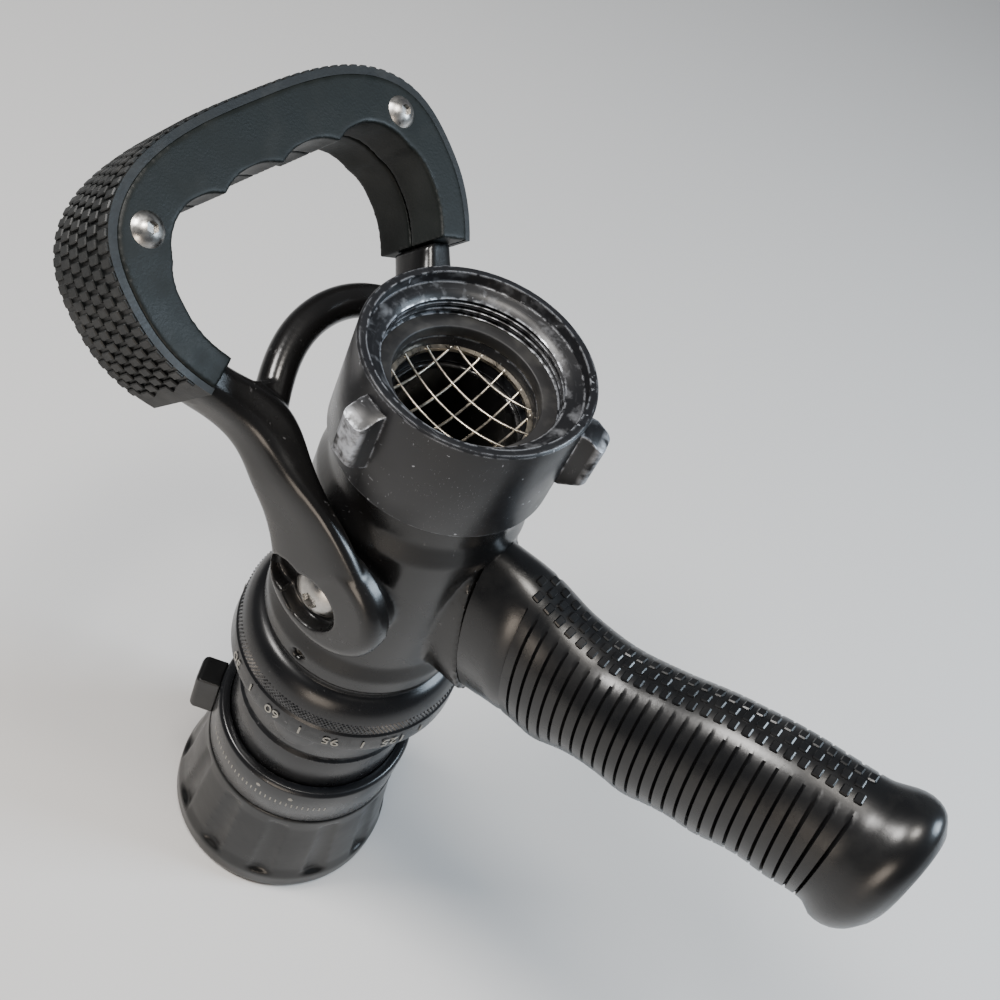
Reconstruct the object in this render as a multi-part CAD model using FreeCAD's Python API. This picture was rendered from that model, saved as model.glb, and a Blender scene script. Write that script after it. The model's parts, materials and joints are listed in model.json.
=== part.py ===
"""Pistol-grip fire hose nozzle with a ball shut-off, standing on its front bumper.

Millimetres.  +Z runs along the waterway towards the inlet, the floor is z = 0 at the
bumper's front face, +X points along the pistol grip and the shut-off bail leans to -X.
"""
import FreeCAD, Part
import math
import os
from FreeCAD import Vector

os.makedirs("parts", exist_ok=True)

# ---- driving dimensions -------------------------------------------------------------
NOZZLE_LENGTH = 275.0
X_AXIS, Y_AXIS, Z_AXIS = Vector(1, 0, 0), Vector(0, 1, 0), Vector(0, 0, 1)

COUPLING_R = 33.0
COUPLING_H = 36.0
COUPLING_Z = NOZZLE_LENGTH - COUPLING_H
THREAD_R = 25.4
THREAD_DEPTH = 1.2
THREAD_PITCH = 2.2
THREAD_TURNS = 3
THREAD_END_Z = 263.5
MOUTH_R = 30.4
LUG_TIP_R = 40.3
LUG_WIDTH = 8.0
LUG_LOW_Z = 250.0
LUG_HIGH_Z = 270.5
LUG_ANGLES = (-102.0, 18.0, 138.0)
GASKET_H = 4.0
GASKET_IN_R = 21.0
GASKET_R = 26.4
SCREEN_R = 21.0
SCREEN_Z = 256.0
SCREEN_SPHERE_R = 38.0
WIRE_R = 0.4
WIRE_PITCH = 7.5

SPIGOT_R = 26.0
SPIGOT_TOP_Z = 250.2
RUN = 0.06
BEARING_BALL_R = 1.6
BEARING_BALLS = 32
RACE_Z = 244.0

VALVE_Z = 195.0
BALL_R = 25.0
WATERWAY_R = 17.5
BALL_GAP = 0.3
SEAT_OUT_R = 24.0
CHAMBER_R = 25.8
BODY_R = 33.0
BODY_Z = 150.0
BODY_TOP_Z = 238.6
BODY_FLAT_Y = 33.4
TRUNNION_BOSS_R = 20.0
STEM_R = 7.0
BUSH_R = 10.0
SQUARE = 9.6

JOURNAL_R = 30.0
BARREL_R = 32.7
RING_Z = 122.6
RING_TOP_Z = 149.6
RING_R = 40.3
DETENT_Z = 133.0
DETENT_ANGLE = -60.0
DETENT_SEAT_R = 22.8
DETENT_BALL_R = 1.5
DETENT_STEP = 40.0
GUIDE_SEAT_R = 28.0
GUIDE_SEAT_Z = 72.0
TIP_Z = 34.0
STEM_ROD_R = 5.0
BAFFLE_R = 17.0
BAFFLE_Z = 18.0

SLEEVE_TOP_Z = 76.0
SLEEVE_R = 37.0
SLEEVE_IN_R = 33.0
BUMPER_TOP_Z = 53.5
BUMPER_R = 43.0
LUG_TOP_R = 46.2
PATTERN_LUG_ANGLE = -152.0
PATTERN_LUG_WIDTH = 11.0
PATTERN_LUG_TOP_Z = 74.6
GUIDE_Z = 42.0
GUIDE_H = 8.0

BAIL_LEAN = 53.0
ARM_IN_Y = 34.0
ARM_OUT_Y = 41.8
ARM_BOSS_R = 20.8
ARM_BOSS_W = 4.8
PIVOT_HEAD_R = 8.2
PIVOT_FLOOR_Y = 37.0
HANDLE_BACK_W = -5.0
HANDLE_MID_W = 10.0
HANDLE_FRONT_W = 24.7
HANDLE_HALF_U = 61.5
HANDLE_WAIST_V = 94.0
HANDLE_RISE = 37.3
HOLE_HALF_U = 47.8
HOLE_WAIST_V = 90.0
HOLE_RISE = 19.5
LEG_END_V = 71.0
LEG_END_SLANT = 27.0
# scallops under the crossbar: middle u, middle v, radius
FINGERS = ((-29.5, 96.9, 16.0), (-10.0, 93.4, 20.9), (10.0, 93.4, 20.9), (29.5, 96.9, 16.0))
TREAD_T = 2.2
HANDLE_SCREW_U = 47.5
HANDLE_SCREW_V = 111.0

GRIP_TILT = 15.5
GRIP_X = 39.0
GRIP_Z = 189.0
GRIP_LENGTH = 137.0
CORE_HALF_Y = 8.0
CORE_HALF_D = 12.0
CORE_SCREW_DEPTHS = (-13.0, 19.0)

# along the grip: distance, offset of the centre, half depth, half width
GRIP_SECTIONS = (
    (0.0, 3.5, 30.5, 15.0),
    (14.0, 2.5, 28.0, 16.0),
    (29.0, -1.3, 23.8, 16.5),
    (44.0, -1.8, 20.8, 16.5),
    (60.0, -0.8, 22.3, 17.0),
    (80.0, 3.2, 23.3, 17.0),
    (100.0, 5.4, 23.3, 17.0),
    (117.0, 5.2, 23.3, 17.0),
    (129.0, 4.5, 25.5, 18.3),
    (GRIP_LENGTH, 7.0, 21.0, 15.5),
)

# up the bail's arm: distance from the pivot, middle u, middle w, half u, half w
ARM_SECTIONS = (
    (4.0, 38.0, 5.5, 3.6, 19.5),
    (16.0, 38.2, 9.5, 3.9, 16.5),
    (28.0, 38.4, 12.5, 4.2, 12.8),
    (40.0, 37.6, 13.0, 6.0, 10.2),
    (50.0, 36.2, 12.5, 7.4, 8.8),
    (60.0, 38.6, 11.5, 7.8, 8.4),
    (73.0, 46.4, 10.5, 6.5, 8.8),
)


# ---- helpers ------------------------------------------------------------------------
def export(shape, node):
    shape.exportStep("parts/%s.step" % node)


def ring(inner_r, outer_r, low_z, high_z):
    """A plain ring about the nozzle's axis."""
    body = Part.makeCylinder(outer_r, high_z - low_z, Vector(0, 0, low_z))
    if inner_r <= 0:
        return body
    return body.cut(Part.makeCylinder(inner_r, high_z - low_z + 2, Vector(0, 0, low_z - 1)))


def turned(profile):
    """A solid of revolution about Z from closed (radius, height) points."""
    points = [Vector(r, 0, z) for r, z in profile]
    wire = Part.makePolygon(points + [points[0]])
    return Part.Face(wire).revolve(Vector(0, 0, 0), Z_AXIS, 360)


def polar(radius, degrees, z):
    angle = math.radians(degrees)
    return Vector(radius * math.cos(angle), radius * math.sin(angle), z)


def radial_rod(rod_r, inner_r, outer_r, degrees, z):
    """A cylinder that points outwards from the nozzle's axis."""
    return Part.makeCylinder(rod_r, outer_r - inner_r, polar(inner_r, degrees, z), polar(1, degrees, 0))


def y_rod(radius, y_from, y_to, x=0.0, z=VALVE_Z):
    """A cylinder along Y between two values of y."""
    low = min(y_from, y_to)
    return Part.makeCylinder(radius, abs(y_to - y_from), Vector(x, low, z), Y_AXIS)


def torus(big_r, small_r, z):
    return Part.makeTorus(big_r, small_r, Vector(0, 0, z))


def hex_prism(across, height, base, direction):
    """A hexagonal socket or nut, across flats, from a base point along a direction."""
    corners = []
    for i in range(7):
        angle = math.radians(60 * i)
        corners.append(Vector(across / math.sqrt(3) * math.cos(angle), across / math.sqrt(3) * math.sin(angle), 0))
    prism = Part.Face(Part.makePolygon(corners)).extrude(Vector(0, 0, height))
    prism.Placement = FreeCAD.Placement(base, FreeCAD.Rotation(Z_AXIS, direction))
    return prism


def button_screw(head_r, head_h, shank_r, shank_l, socket, base, direction):
    """A button-head socket screw: the head's seat is at base, the head points along direction."""
    dome_r = (head_r ** 2 + head_h ** 2) / (2 * head_h)
    head = Part.makeSphere(dome_r, Vector(0, 0, head_h - dome_r))
    head = head.common(Part.makeCylinder(head_r, head_h))
    shank = Part.makeCylinder(shank_r, shank_l + 0.5, Vector(0, 0, -shank_l))
    screw = head.fuse(shank).cut(hex_prism(socket, head_h, Vector(0, 0, head_h * 0.45), Z_AXIS))
    screw.Placement = FreeCAD.Placement(base, FreeCAD.Rotation(Z_AXIS, direction))
    return screw


def closed_curve(points):
    curve = Part.BSplineCurve()
    curve.interpolate(points, PeriodicFlag=True)
    return Part.Wire(curve.toShape())


def squared_oval(place, half_a, half_b, power=2.6, count=24):
    """Points round a superellipse, put in space by the function place(a, b)."""
    points = []
    for i in range(count):
        angle = 2 * math.pi * i / count
        c, s = math.cos(angle), math.sin(angle)
        a = half_a * math.copysign(abs(c) ** (2 / power), c)
        b = half_b * math.copysign(abs(s) ** (2 / power), s)
        points.append(place(a, b))
    return closed_curve(points)


# ---- frames of the bail and the grip ------------------------------------------------
lean = math.radians(BAIL_LEAN)
BAIL_V = Vector(-math.sin(lean), 0, math.cos(lean))
BAIL_W = Vector(math.cos(lean), 0, math.sin(lean))
BAIL_PLACE = FreeCAD.Placement(
    Vector(0, 0, VALVE_Z), FreeCAD.Rotation(Y_AXIS, BAIL_V, BAIL_W, "XYZ"))
GRIP_PLACE = FreeCAD.Placement(Vector(GRIP_X, 0, GRIP_Z), FreeCAD.Rotation(Y_AXIS, -GRIP_TILT))


def in_bail(shape):
    """Moves a shape drawn in (u, v, w) onto the leaning bail."""
    moved = shape.copy()
    moved.Placement = BAIL_PLACE.multiply(shape.Placement)
    return moved


def in_grip(shape):
    """Moves a shape drawn along the grip (distance, y, depth) onto the nozzle."""
    moved = shape.copy()
    moved.Placement = GRIP_PLACE.multiply(shape.Placement)
    return moved


# ---- swivel coupling ----------------------------------------------------------------
def rocker_lug(degrees):
    """A spanner lug with sloping ends and rounded sides."""
    profile = [
        (COUPLING_R - 3, LUG_LOW_Z), (COUPLING_R + 0.8, LUG_LOW_Z), (LUG_TIP_R, LUG_LOW_Z + 4),
        (LUG_TIP_R, LUG_HIGH_Z - 3), (COUPLING_R + 2, LUG_HIGH_Z), (COUPLING_R - 3, LUG_HIGH_Z)]
    points = [Vector(r, -LUG_WIDTH / 2, z) for r, z in profile]
    lug = Part.Face(Part.makePolygon(points + [points[0]])).extrude(Vector(0, LUG_WIDTH, 0))
    tip_edges = [e for e in lug.Edges if e.Length > 10 and abs(e.CenterOfMass.x - LUG_TIP_R) < 0.1]
    lug = lug.makeFillet(2.0, tip_edges)
    lug.rotate(Vector(0, 0, 0), Z_AXIS, degrees)
    return lug


def swivel_coupling():
    seat_z = THREAD_END_Z - GASKET_H
    body = turned([
        (SPIGOT_R + RUN, COUPLING_Z), (COUPLING_R - 1, COUPLING_Z), (COUPLING_R, COUPLING_Z + 1),
        (COUPLING_R, NOZZLE_LENGTH - 0.6), (COUPLING_R - 0.6, NOZZLE_LENGTH), (MOUTH_R, NOZZLE_LENGTH),
        (MOUTH_R, NOZZLE_LENGTH - 3.7), (MOUTH_R - 2.6, NOZZLE_LENGTH - 3.9), (THREAD_R, NOZZLE_LENGTH - 5.5),
        (THREAD_R, THREAD_END_Z), (GASKET_R, THREAD_END_Z), (GASKET_R, seat_z), (SCREEN_R + 0.1, seat_z),
        (SCREEN_R + 0.1, SCREEN_Z - 1.1), (SCREEN_R - 1.2, SCREEN_Z - 1.1),
        (SCREEN_R - 1.2, SPIGOT_TOP_Z + 0.4), (SPIGOT_R + RUN, SPIGOT_TOP_Z + 0.4)])
    for turn in range(THREAD_TURNS):
        z = THREAD_END_Z + 0.9 + THREAD_PITCH * turn
        body = body.cut(turned([
            (THREAD_R - 0.5, z - 0.8), (THREAD_R - 0.5, z + 0.8),
            (THREAD_R + THREAD_DEPTH, z + 0.3), (THREAD_R + THREAD_DEPTH, z - 0.3)]))
    body = body.cut(torus(SPIGOT_R, BEARING_BALL_R + RUN, RACE_Z))
    for degrees in LUG_ANGLES:
        body = body.fuse(rocker_lug(degrees))
    body = body.cut(radial_rod(2.0, SPIGOT_R + 2.2, COUPLING_R + 1, 60, RACE_Z))
    return body.removeSplitter()


def debris_screen():
    """A dished wire screen: crossed wires on a sphere, soldered to a flat rim on its ledge."""
    centre_z = SCREEN_Z - 0.5 + math.sqrt(SCREEN_SPHERE_R ** 2 - (SCREEN_R - 1) ** 2)
    disc = Part.makeCylinder(SCREEN_R - 0.6, 12, Vector(0, 0, SCREEN_Z - 11))
    wires = []
    for row in range(-2, 3):
        offset = WIRE_PITCH * row
        for across, shift in ((X_AXIS, 0.0), (Y_AXIS, WIRE_R)):
            bend_r = math.sqrt(SCREEN_SPHERE_R ** 2 - offset ** 2)
            wire = Part.makeTorus(bend_r, WIRE_R, across * offset + Vector(0, 0, centre_z + shift), across)
            wires.append(wire.common(disc))
    rim = ring(SCREEN_R - 1.5, SCREEN_R, SCREEN_Z - 1.05, SCREEN_Z)
    return rim.multiFuse(wires)


def race_plug_screw():
    plug = radial_rod(2.0, SPIGOT_R + 2.2, COUPLING_R - 0.6, 60, RACE_Z)
    return plug.cut(hex_prism(2.0, 2.0, polar(COUPLING_R - 2.0, 60, RACE_Z), polar(1, 60, 0)))


def bearing_balls():
    balls = []
    for i in range(BEARING_BALLS):
        degrees = 360.0 * i / BEARING_BALLS
        balls.append(Part.makeSphere(BEARING_BALL_R, polar(SPIGOT_R, degrees, RACE_Z)))
    return Part.makeCompound(balls)


# ---- valve body ---------------------------------------------------------------------
def grip_neck():
    """The cast arm that carries the pistol grip."""
    def section(distance, half_d, half_y, middle):
        return squared_oval(lambda a, b: Vector(distance, b, middle + a), half_d, half_y, 3.2)
    neck = Part.makeLoft([
        section(-30.0, 24.0, 13.0, 3.0), section(-14.0, 27.0, 13.6, 3.0), section(-0.4, 29.6, 14.2, 3.0)],
        True, False)
    return in_grip(neck)


def valve_body():
    outside = turned([
        (0, BODY_Z), (BODY_R + 0.4, BODY_Z), (BODY_R + 1, BODY_Z + 1), (BODY_R + 1, 158), (BODY_R - 1, 164),
        (BODY_R - 1, 222), (BODY_R - 3, 229), (BODY_R - 3, BODY_TOP_Z), (SPIGOT_R, BODY_TOP_Z),
        (SPIGOT_R, SPIGOT_TOP_Z), (0, SPIGOT_TOP_Z)])
    boss = y_rod(TRUNNION_BOSS_R, -BODY_FLAT_Y, BODY_FLAT_Y)
    outside = outside.fuse(boss)
    for side in (-1, 1):
        beyond = Part.makeBox(50, 10, 62, Vector(-25, BODY_FLAT_Y if side > 0 else -BODY_FLAT_Y - 10, 166))
        outside = outside.cut(beyond)
    outside = outside.fuse(grip_neck())
    body = outside.cut(ring(0, CHAMBER_R, BODY_Z - 1, 207))
    body = body.cut(ring(0, SEAT_OUT_R + 0.05, 206, 219))
    body = body.cut(ring(0, WATERWAY_R + 1, 218, 252))
    body = body.cut(torus(SPIGOT_R, BEARING_BALL_R + RUN, RACE_Z))
    body = body.cut(ring(23.2, 27, 247.2, 249.2))
    body = body.cut(y_rod(BUSH_R, -40, 40))
    for depth in CORE_SCREW_DEPTHS:
        tap = Part.makeCylinder(2.5, 20, Vector(-6.3, 0, depth), X_AXIS)
        body = body.cut(in_grip(tap))
    for degrees in (30, 150, 270):
        body = body.cut(radial_rod(2.0, CHAMBER_R - 1, BODY_R + 2, degrees, 155))
    return body


def stem_bush(side):
    low, high = (26.6, BODY_FLAT_Y - 0.2) if side > 0 else (-BODY_FLAT_Y + 0.2, -26.6)
    bush = y_rod(BUSH_R, low, high).cut(y_rod(STEM_R + RUN, low - 1, high + 1))
    return bush


def valve_seat(low_z, high_z):
    """A seat ring with a spherical face against the ball."""
    blank = ring(WATERWAY_R + 0.5, SEAT_OUT_R, low_z, high_z)
    return blank.cut(Part.makeSphere(BALL_R + BALL_GAP, Vector(0, 0, VALVE_Z)))


def seat_carrier():
    low = BODY_Z + 10.2
    carrier = ring(WATERWAY_R + 0.5, CHAMBER_R - 0.05, low, 184)
    return carrier.cut(ring(0, SEAT_OUT_R + 0.05, low + 10, 185))


def set_screws():
    screws = []
    for degrees in (30, 150, 270):
        screw = radial_rod(1.95, CHAMBER_R + 0.1, BODY_R - 0.5, degrees, 155)
        screws.append(screw.cut(hex_prism(2.0, 3, polar(BODY_R - 2.5, degrees, 155), polar(1, degrees, 0))))
    return Part.makeCompound(screws)


# ---- barrel, stem and baffle --------------------------------------------------------
def barrel():
    """The fixed tube: valve spigot, selector journal, exposed barrel, guide seat and tip."""
    tube = turned([
        (WATERWAY_R + 0.5, BODY_Z + 10), (CHAMBER_R - 0.05, BODY_Z + 10), (CHAMBER_R - 0.05, BODY_Z - 0.1),
        (JOURNAL_R, BODY_Z - 0.1), (JOURNAL_R, RING_Z - 0.4), (BARREL_R, RING_Z - 0.4),
        (BARREL_R, 100), (BARREL_R - 1.2, 99.2), (BARREL_R - 1.2, 96.2), (BARREL_R, 95.4),
        (BARREL_R, GUIDE_SEAT_Z), (GUIDE_SEAT_R, GUIDE_SEAT_Z), (GUIDE_SEAT_R, TIP_Z + 6),
        (22.5, TIP_Z), (19.0, TIP_Z), (22.5, 60), (23.5, 76), (23.5, 120), (WATERWAY_R + 0.5, 146)])
    for degrees in (0, 180):
        slot = Part.makeBox(6, 4.5, 30, Vector(25.2, -2.25, GUIDE_SEAT_Z - 31.5))
        slot.rotate(Vector(0, 0, 0), Z_AXIS, degrees)
        tube = tube.cut(slot)
    pad = radial_rod(8.0, BARREL_R - 3, BARREL_R + 3, -75, 112).common(ring(0, BARREL_R + 0.9, 100, 121))
    tube = tube.fuse(pad)
    return tube.cut(radial_rod(1.7, DETENT_SEAT_R, JOURNAL_R + 1, DETENT_ANGLE, DETENT_Z))


def detent_spring():
    """Coil spring under the selector's detent ball."""
    coil_r, wire_r = 1.15, 0.2
    length = JOURNAL_R - 2 * DETENT_BALL_R - DETENT_SEAT_R - 3 * wire_r
    helix = Part.Wire(Part.makeHelix(0.9, length, coil_r).Edges)
    section = Part.Wire(Part.makeCircle(wire_r, Vector(coil_r, 0, 0), Y_AXIS))
    coil = helix.makePipeShell([section], True, True)
    coil.Placement = FreeCAD.Placement(
        polar(DETENT_SEAT_R + 1.5 * wire_r, DETENT_ANGLE, DETENT_Z),
        FreeCAD.Rotation(Z_AXIS, polar(1, DETENT_ANGLE, 0)))
    return coil


def flow_spider():
    """Three thin vanes that hold the stem's guide in the middle of the waterway."""
    hub = ring(0, 8.0, 84, 106)
    rim = ring(21.8, 23.45, 86, 104)
    vanes = []
    for degrees in (90, 210, 330):
        vane = Part.makeBox(16, 2.4, 16, Vector(7, -1.2, 87))
        vane.rotate(Vector(0, 0, 0), Z_AXIS, degrees)
        vanes.append(vane)
    spider = hub.multiFuse([rim] + vanes)
    return spider.cut(ring(0, STEM_ROD_R + RUN, 80, 110))


def baffle_stem():
    tip = Part.makeCone(STEM_ROD_R, 1.5, 8, Vector(0, 0, 112), Z_AXIS)
    rod = ring(0, STEM_ROD_R, 34, 112)
    thread = ring(0, 3.0, BAFFLE_Z + 3.2, 34)
    return rod.fuse(tip).fuse(thread)


def baffle_head():
    """The disc that turns the stream outwards, with fine radial slots on its edge."""
    head = turned([
        (3.05, 34), (7.5, 34), (10, 30.5), (BAFFLE_R, 27), (BAFFLE_R, 23.5), (13, BAFFLE_Z), (3.05, BAFFLE_Z)])
    slots = []
    for i in range(24):
        cutter = Part.makeBox(3, 1.1, 12, Vector(BAFFLE_R - 1.2, -0.55, 17))
        cutter.rotate(Vector(0, 0, 0), Z_AXIS, 15 * i)
        slots.append(cutter)
    return head.cut(Part.makeCompound(slots)).cut(ring(0, 6.6, BAFFLE_Z - 1, BAFFLE_Z + 3.2))


def baffle_screw():
    nut = hex_prism(9.5, 3.0, Vector(0, 0, BAFFLE_Z + 0.1), Z_AXIS)
    return nut.cut(hex_prism(4.0, 2.0, Vector(0, 0, BAFFLE_Z), Z_AXIS))


# ---- selector -----------------------------------------------------------------------
def selector_ring():
    """The flow selector: knurled shoulder over a smooth band."""
    body = turned([
        (JOURNAL_R + RUN, RING_Z), (RING_R - 0.6, RING_Z), (RING_R, RING_Z + 0.8), (RING_R - 0.5, 131.5),
        (RING_R - 1.3, 132.2), (RING_R - 1.4, 138.4), (RING_R - 2.6, 142.4), (RING_R - 5.0, 145.6),
        (RING_R - 7.4, 146.8), (RING_R - 7.6, RING_TOP_Z), (JOURNAL_R + RUN, RING_TOP_Z)])
    for i in range(4):
        notch = polar(JOURNAL_R + RUN, DETENT_ANGLE - DETENT_STEP * i, DETENT_Z - 3)
        body = body.cut(Part.makeCylinder(1.2, 6, notch))
    return body


# ---- pattern sleeve -----------------------------------------------------------------
def pattern_sleeve():
    guide_top = GUIDE_Z + GUIDE_H
    return turned([
        (29.0, 30), (29.0, GUIDE_Z - 0.1), (SLEEVE_IN_R, GUIDE_Z - 0.1), (SLEEVE_IN_R, guide_top + 0.3),
        (SLEEVE_IN_R + 0.9, guide_top + 0.3), (SLEEVE_IN_R + 0.9, guide_top + 1.8),
        (SLEEVE_IN_R, guide_top + 1.8), (SLEEVE_IN_R, SLEEVE_TOP_Z),
        (SLEEVE_R - 1.2, SLEEVE_TOP_Z), (SLEEVE_R, SLEEVE_TOP_Z - 1.2), (SLEEVE_R, BUMPER_TOP_Z + 0.05),
        (SLEEVE_R - 2.5, BUMPER_TOP_Z + 0.05), (SLEEVE_R - 2.5, 6), (33.4, 4.5), (32, 4.5), (32, 14), (31.5, 26)])


def sleeve_snap_ring():
    low = GUIDE_Z + GUIDE_H + 0.4
    clip = ring(31.4, SLEEVE_IN_R + 0.85, low, low + 1.3)
    return clip.cut(Part.makeBox(6, 8, 4, Vector(-35, -4, low - 1)))


def fog_ring():
    """Moulded teeth inside the mouth that break the stream into fog."""
    body = ring(30.2, 31.95, 5, 13.5)
    teeth = []
    for i in range(24):
        tooth = Part.makeBox(2.6, 3.0, 6.5, Vector(27.9, -1.5, 5))
        tooth.rotate(Vector(0, 0, 0), Z_AXIS, 15 * i)
        teeth.append(tooth)
    return body.multiFuse(teeth)


def bumper():
    """The rubber bumper, scalloped round its waist and flared to the front."""
    inner_r = SLEEVE_R - 2.45
    body = turned([
        (inner_r, 3.9), (31.0, 3.9), (32.5, 0.6), (33.4, 0), (BUMPER_R - 2, 0), (BUMPER_R - 0.4, 0.8),
        (BUMPER_R, 2.6), (BUMPER_R, 9), (BUMPER_R - 1.4, 15), (38.9, 36), (37.7, 46),
        (SLEEVE_R + 0.4, BUMPER_TOP_Z - 0.6), (SLEEVE_R, BUMPER_TOP_Z), (inner_r, BUMPER_TOP_Z)])
    flutes = []
    for i in range(12):
        low, high = polar(51.0, 30 * i, 12), polar(46.9, 30 * i, 50)
        flutes.append(Part.makeCylinder(10.5, (high - low).Length, low, high - low))
    return body.cut(Part.makeCompound(flutes))


def pattern_lug():
    """The block on the sleeve that tells a gloved hand where the pattern is."""
    low = BUMPER_TOP_Z + 0.1
    lug = Part.makeBox(LUG_TOP_R - SLEEVE_R + 3, PATTERN_LUG_WIDTH, PATTERN_LUG_TOP_Z - low,
                       Vector(SLEEVE_R - 3, -PATTERN_LUG_WIDTH / 2, low))
    outer_edges = [e for e in lug.Edges if all(v.X > SLEEVE_R for v in e.Vertexes)]
    lug = lug.makeFillet(2.0, outer_edges).cut(ring(0, SLEEVE_R + 0.03, 40, 90))
    lug.rotate(Vector(0, 0, 0), Z_AXIS, PATTERN_LUG_ANGLE)
    return lug


def guide_ring():
    return ring(GUIDE_SEAT_R + RUN, SLEEVE_IN_R - RUN, GUIDE_Z, GUIDE_Z + GUIDE_H).cut(
        radial_rod(1.95, 20, 40, 0, GUIDE_Z + 4)).cut(radial_rod(1.95, 20, 40, 180, GUIDE_Z + 4)).cut(
        ring(GUIDE_SEAT_R - 1, GUIDE_SEAT_R + 1.6, GUIDE_Z + 6.3, GUIDE_Z + 7.7))


def guide_pins():
    return Part.makeCompound([
        radial_rod(1.9, 25.8, SLEEVE_IN_R - 0.4, degrees, GUIDE_Z + 4) for degrees in (0, 180)])


# ---- bail ---------------------------------------------------------------------------
def arm(side):
    def section(v, u, w, half_u, half_w):
        return squared_oval(lambda a, b: Vector(side * u + a, v, w + b), half_u, half_w, 3.4)
    blade = Part.makeLoft([section(*row) for row in ARM_SECTIONS], True, False)
    boss = Part.makeCylinder(ARM_BOSS_R, ARM_OUT_Y - ARM_IN_Y, Vector(ARM_IN_Y, 0, ARM_BOSS_W), X_AXIS)
    rim_edges = [e for e in boss.Edges if e.Length > 50 and abs(e.CenterOfMass.x - ARM_OUT_Y) < 0.1]
    boss = boss.makeFillet(4.5, rim_edges)
    if side < 0:
        boss = boss.mirror(Vector(0, 0, 0), X_AXIS)
    gusset = [(30, 50), (45, 58), (49, 70), (38, 67), (26, 60.5)]
    points = [Vector(side * u, v, 7.5) for u, v in gusset]
    web = Part.Face(Part.makePolygon(points + [points[0]])).extrude(Vector(0, 0, 9.0))
    return blade.multiFuse([boss, web]).cut(beyond_leg_end(side, True))


def tongue(side, radius):
    """The steel end of an arm, buried in the handle's leg."""
    path = Part.BSplineCurve()
    path.interpolate([
        Vector(side * 46.6, 68, HANDLE_MID_W), Vector(side * 50.7, 80, HANDLE_MID_W),
        Vector(side * 53.8, 92, HANDLE_MID_W), Vector(side * 53.6, 102, HANDLE_MID_W)])
    spine = Part.Wire(path.toShape())
    start = spine.Edges[0].tangentAt(spine.Edges[0].FirstParameter)
    circle = Part.Wire(Part.makeCircle(radius, Vector(side * 46.6, 68, HANDLE_MID_W), start))
    return spine.makePipeShell([circle], True, True)


def brace():
    """The arched bar that ties the arms together below the handle."""
    path = Part.BSplineCurve()
    path.interpolate([
        Vector(-38, 47, 11), Vector(-27, 59.5, 12), Vector(-14, 68.2, 12), Vector(0, 71, 12),
        Vector(14, 68.2, 12), Vector(27, 59.5, 12), Vector(38, 47, 11)])
    spine = Part.Wire(path.toShape())
    start = spine.Edges[0].tangentAt(spine.Edges[0].FirstParameter)
    circle = Part.Wire(Part.makeCircle(5.1, Vector(-38, 47, 11), start))
    return spine.makePipeShell([circle], True, True)


def yoke():
    """Both arms with their pivot bosses, the brace, and the tongues inside the handle."""
    body = arm(-1).multiFuse([arm(1), brace(), tongue(-1, 4.0), tongue(1, 4.0)])
    for side in (-1, 1):
        floor = Vector(side * PIVOT_FLOOR_Y, 0, 0)
        out = Vector(side, 0, 0)
        body = body.cut(Part.makeCylinder(10.2, 20, floor, out))
        body = body.cut(Part.makeCylinder(7.0, 20, floor + Vector(0, 9, -4), out))
        low = side * ARM_IN_Y if side > 0 else -PIVOT_FLOOR_Y - 1
        square = Part.makeBox(PIVOT_FLOOR_Y - ARM_IN_Y + 1, SQUARE, SQUARE, Vector(low, -SQUARE / 2, -SQUARE / 2))
        body = body.cut(square.fuse(Part.makeCylinder(8, 1, Vector(side * (ARM_IN_Y - 1), 0, 0), out)))
    beside = Part.makeBox(2 * ARM_IN_Y, 44, 60, Vector(-ARM_IN_Y, -22, -30))
    return in_bail(body.cut(beside))


def handle_face(inset, v_low):
    """The D outline without its opening, inset from the outside by a distance."""
    half_u, rise, power = HANDLE_HALF_U - inset, HANDLE_RISE - inset, 2.85
    right = []
    for step in range(5):
        v = v_low + (HANDLE_WAIST_V - v_low) * step / 5
        right.append(Vector(half_u - 8.5 * ((HANDLE_WAIST_V - v) / 25.0) ** 2, v, 0))
    top = []
    for step in range(25):
        angle = math.pi * step / 24
        c, s = math.cos(angle), math.sin(angle)
        top.append(Vector(
            half_u * math.copysign(abs(c) ** (2 / power), c), HANDLE_WAIST_V + rise * abs(s) ** (2 / power), 0))
    left = [Vector(-p.x, p.y, 0) for p in reversed(right)]
    curve = Part.BSplineCurve()
    curve.interpolate(right + top + left)
    close = Part.LineSegment(left[-1], right[0])
    return Part.Face(Part.Wire([curve.toShape(), close.toShape()]))


def hand_hole():
    """The opening for the hand, with a scallop for each finger under the crossbar."""
    power = 3.2
    right = []
    for step in range(5):
        v = LEG_END_V - 8 + (HOLE_WAIST_V - LEG_END_V + 8) * step / 5
        right.append(Vector(HOLE_HALF_U - 5.5 * ((HOLE_WAIST_V - v) / 16.0) ** 2, v, -10))
    top = []
    for step in range(25):
        angle = math.pi * step / 24
        c, s = math.cos(angle), math.sin(angle)
        top.append(Vector(
            HOLE_HALF_U * math.copysign(abs(c) ** (2 / power), c),
            HOLE_WAIST_V + HOLE_RISE * abs(s) ** (2 / power), -10))
    left = [Vector(-p.x, p.y, -10) for p in reversed(right)]
    curve = Part.BSplineCurve()
    curve.interpolate(right + top + left)
    close = Part.LineSegment(left[-1], right[0])
    hole = Part.Face(Part.Wire([curve.toShape(), close.toShape()])).extrude(Vector(0, 0, 40))
    return hole.multiFuse([Part.makeCylinder(radius, 40, Vector(u, v, -10)) for u, v, radius in FINGERS])


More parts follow.
